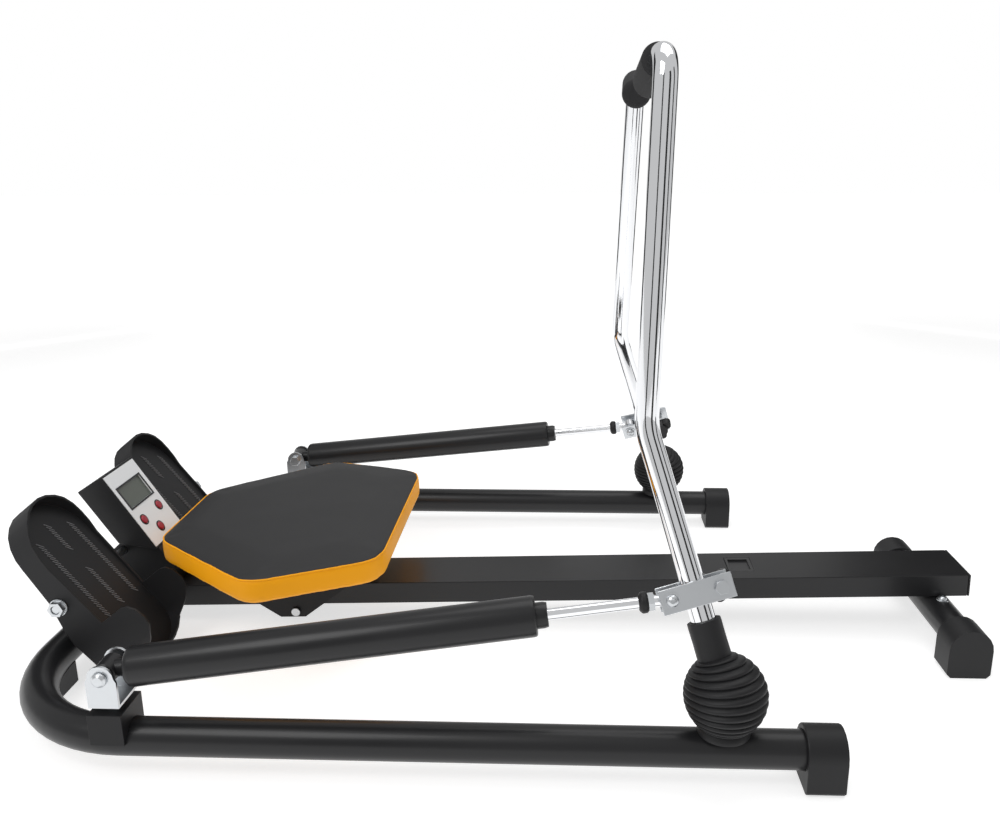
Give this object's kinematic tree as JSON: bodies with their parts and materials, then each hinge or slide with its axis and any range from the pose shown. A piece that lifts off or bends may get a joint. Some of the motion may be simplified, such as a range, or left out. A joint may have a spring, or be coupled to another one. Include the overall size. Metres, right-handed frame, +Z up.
{
  "type": "rowing machine",
  "caption": "Low glider rowing machine with a U-shaped base, a central rail, a padded sliding seat and two hydraulic rowing arms.",
  "frame": {"origin": "middle of the footprint, on the floor", "axes": "+X towards the rear of the rail, +Y towards the rower's right arm, +Z up"},
  "size_m": [1.2008, 0.7626, 0.7345],
  "materials": {
    "black_paint": "satin black powder coat",
    "rubber": "matt black rubber and foam",
    "black_plastic": "matt black moulded plastic",
    "chrome": "polished chrome plate",
    "zinc": "bright zinc plate",
    "orange_vinyl": "orange-yellow vinyl, charcoal top panel",
    "plywood": "plain plywood",
    "silver_plastic": "pale silver plastic",
    "screen_glass": "grey-green liquid crystal screen",
    "red_plastic": "glossy red plastic",
    "circuit_board": "green circuit board",
    "battery_can": "painted cell case"
  },
  "bodies": {
    "frame": {"base_tube": "black_paint", "rear_foot_cap_left": "rubber", "rear_foot_cap_right": "rubber", "crossbar_cap_left": "rubber", "crossbar_cap_right": "rubber", "front_foot_left": "rubber", "front_foot_right": "rubber", "rear_crossbar": "black_paint", "rail": "black_paint", "rail_latch": "black_plastic", "rail_end_cap": "black_plastic", "front_post": "black_paint", "foot_axle": "zinc", "axle_nut_left": "zinc", "axle_nut_right": "zinc", "monitor_housing": "black_plastic", "monitor_face": "silver_plastic", "monitor_screen": "screen_glass", "monitor_board": "circuit_board", "monitor_battery": "battery_can", "cylinder_mount_left": "black_paint", "cylinder_mount_right": "black_paint", "ball_boot_left": "rubber", "ball_boot_right": "rubber"},
    "seat": {"seat_cushion": "orange_vinyl", "seat_board": "plywood", "seat_carriage": "black_paint", "seat_axle_front": "zinc", "seat_axle_rear": "zinc", "seat_axle_lower": "zinc"},
    "roller_front": {"seat_roller_front": "black_plastic"},
    "roller_rear": {"seat_roller_rear": "black_plastic"},
    "roller_lower": {"seat_roller_lower": "black_plastic"},
    "button_left": {"monitor_button_left": "red_plastic"},
    "button_right": {"monitor_button_right": "red_plastic"},
    "button_centre": {"monitor_button_centre": "red_plastic"},
    "foot_rest_left": {"foot_plate_left": "black_plastic"},
    "joint_left": {"joint_cross_left": "zinc"},
    "arm_left": {"arm_left": "chrome", "grip_left": "rubber", "clamp_plate_inner_left": "zinc", "clamp_plate_outer_left": "zinc"},
    "knob_left": {"clamp_knob_left": "black_plastic"},
    "clevis_left": {"clevis_left": "zinc", "pivot_pin_left": "zinc"},
    "cylinder_left": {"cylinder_left": "black_paint"},
    "rod_left": {"piston_rod_left": "chrome", "rod_buffer_left": "rubber"},
    "foot_rest_right": {"foot_plate_right": "black_plastic"},
    "joint_right": {"joint_cross_right": "zinc"},
    "arm_right": {"arm_right": "chrome", "grip_right": "rubber", "clamp_plate_inner_right": "zinc", "clamp_plate_outer_right": "zinc"},
    "knob_right": {"clamp_knob_right": "black_plastic"},
    "clevis_right": {"clevis_right": "zinc", "pivot_pin_right": "zinc"},
    "cylinder_right": {"cylinder_right": "black_paint"},
    "rod_right": {"piston_rod_right": "chrome", "rod_buffer_right": "rubber"}
  },
  "joints": [
    {"name": "seat_slide", "type": "slide", "parent": "frame", "child": "seat", "axis": [0.9996, 0, 0.0291], "range_m": [0, 0.49]},
    {"name": "roller_front_spin", "type": "hinge", "parent": "seat", "child": "roller_front", "pos_m": [-0.37649, 0, 0.07785], "axis": [0, 1, 0], "continuous": true},
    {"name": "roller_rear_spin", "type": "hinge", "parent": "seat", "child": "roller_rear", "pos_m": [-0.23655, 0, 0.08193], "axis": [0, 1, 0], "continuous": true},
    {"name": "roller_lower_spin", "type": "hinge", "parent": "seat", "child": "roller_lower", "pos_m": [-0.29893, 0, 0.02548], "axis": [0, 1, 0], "continuous": true},
    {"name": "button_left_press", "type": "slide", "parent": "frame", "child": "button_left", "axis": [-0.8461, 0, -0.533], "range_m": [0, 0.0015], "stiffness_N_per_m": 400, "springref_m": -0.0005},
    {"name": "button_right_press", "type": "slide", "parent": "frame", "child": "button_right", "axis": [-0.8461, 0, -0.533], "range_m": [0, 0.0015], "stiffness_N_per_m": 400, "springref_m": -0.0005},
    {"name": "button_centre_press", "type": "slide", "parent": "frame", "child": "button_centre", "axis": [-0.8461, 0, -0.533], "range_m": [0, 0.0015], "stiffness_N_per_m": 400, "springref_m": -0.0005},
    {"name": "foot_tilt_left", "type": "hinge", "parent": "frame", "child": "foot_rest_left", "pos_m": [-0.53258, -0.142, 0.1088], "axis": [0, 1, 0], "range_deg": [-3, 12]},
    {"name": "arm_swing_left", "type": "hinge", "parent": "frame", "child": "joint_left", "pos_m": [0.22802, -0.339, 0.0995], "axis": [0, 1, 0], "range_deg": [-20, 25], "deforming": ["ball_boot_left"]},
    {"name": "arm_tilt_left", "type": "hinge", "parent": "joint_left", "child": "arm_left", "pos_m": [0.22802, -0.339, 0.0995], "axis": [-0.9544, 0, -0.2985], "range_deg": [-12, 5], "deforming": ["ball_boot_left"]},
    {"name": "knob_turn_left", "type": "hinge", "parent": "arm_left", "child": "knob_left", "pos_m": [0.22276, -0.30025, 0.19958], "axis": [0, -0.9325, 0.3611], "continuous": true},
    {"name": "clevis_swivel_left", "type": "hinge", "parent": "frame", "child": "clevis_left", "pos_m": [-0.40058, -0.339, 0.116], "axis": [0, 0, 1], "range_deg": [-4, 4]},
    {"name": "cylinder_pitch_left", "type": "hinge", "parent": "clevis_left", "child": "cylinder_left", "pos_m": [-0.40058, -0.339, 0.116], "axis": [0, 1, 0], "range_deg": [-6, 6]},
    {"name": "rod_slide_left", "type": "slide", "parent": "cylinder_left", "child": "rod_left", "axis": [0.9909, 0.058, 0.1212], "range_m": [-0.055, 0.055]},
    {"name": "foot_tilt_right", "type": "hinge", "parent": "frame", "child": "foot_rest_right", "pos_m": [-0.53258, 0.117, 0.1088], "axis": [0, 1, 0], "range_deg": [-3, 12]},
    {"name": "arm_swing_right", "type": "hinge", "parent": "frame", "child": "joint_right", "pos_m": [0.22802, 0.339, 0.0995], "axis": [0, 1, 0], "range_deg": [-20, 25], "deforming": ["ball_boot_right"]},
    {"name": "arm_tilt_right", "type": "hinge", "parent": "joint_right", "child": "arm_right", "pos_m": [0.22802, 0.339, 0.0995], "axis": [0.9544, 0, 0.2985], "range_deg": [-12, 5], "deforming": ["ball_boot_right"]},
    {"name": "knob_turn_right", "type": "hinge", "parent": "arm_right", "child": "knob_right", "pos_m": [0.22276, 0.30025, 0.19958], "axis": [0, 0.9325, 0.3611], "continuous": true},
    {"name": "clevis_swivel_right", "type": "hinge", "parent": "frame", "child": "clevis_right", "pos_m": [-0.40058, 0.339, 0.116], "axis": [0, 0, 1], "range_deg": [-4, 4]},
    {"name": "cylinder_pitch_right", "type": "hinge", "parent": "clevis_right", "child": "cylinder_right", "pos_m": [-0.40058, 0.339, 0.116], "axis": [0, 1, 0], "range_deg": [-6, 6]},
    {"name": "rod_slide_right", "type": "slide", "parent": "cylinder_right", "child": "rod_right", "axis": [0.9909, -0.058, 0.1212], "range_m": [-0.055, 0.055]}
  ],
  "couplings": [
    {"joint": "roller_front_spin", "follows": "seat_slide", "rad_per_m": 58.824},
    {"joint": "roller_rear_spin", "follows": "seat_slide", "rad_per_m": 58.824},
    {"joint": "roller_lower_spin", "follows": "seat_slide", "rad_per_m": -142.86},
    {"joint": "clevis_swivel_left", "follows": "arm_tilt_left", "ratio": 0.17235},
    {"joint": "cylinder_pitch_left", "follows": "arm_swing_left", "ratio": -0.06313},
    {"joint": "rod_slide_left", "follows": "arm_swing_left", "m_per_rad": 0.093544},
    {"joint": "clevis_swivel_right", "follows": "arm_tilt_right", "ratio": -0.17235},
    {"joint": "cylinder_pitch_right", "follows": "arm_swing_right", "ratio": -0.06313},
    {"joint": "rod_slide_right", "follows": "arm_swing_right", "m_per_rad": 0.093544}
  ]
}
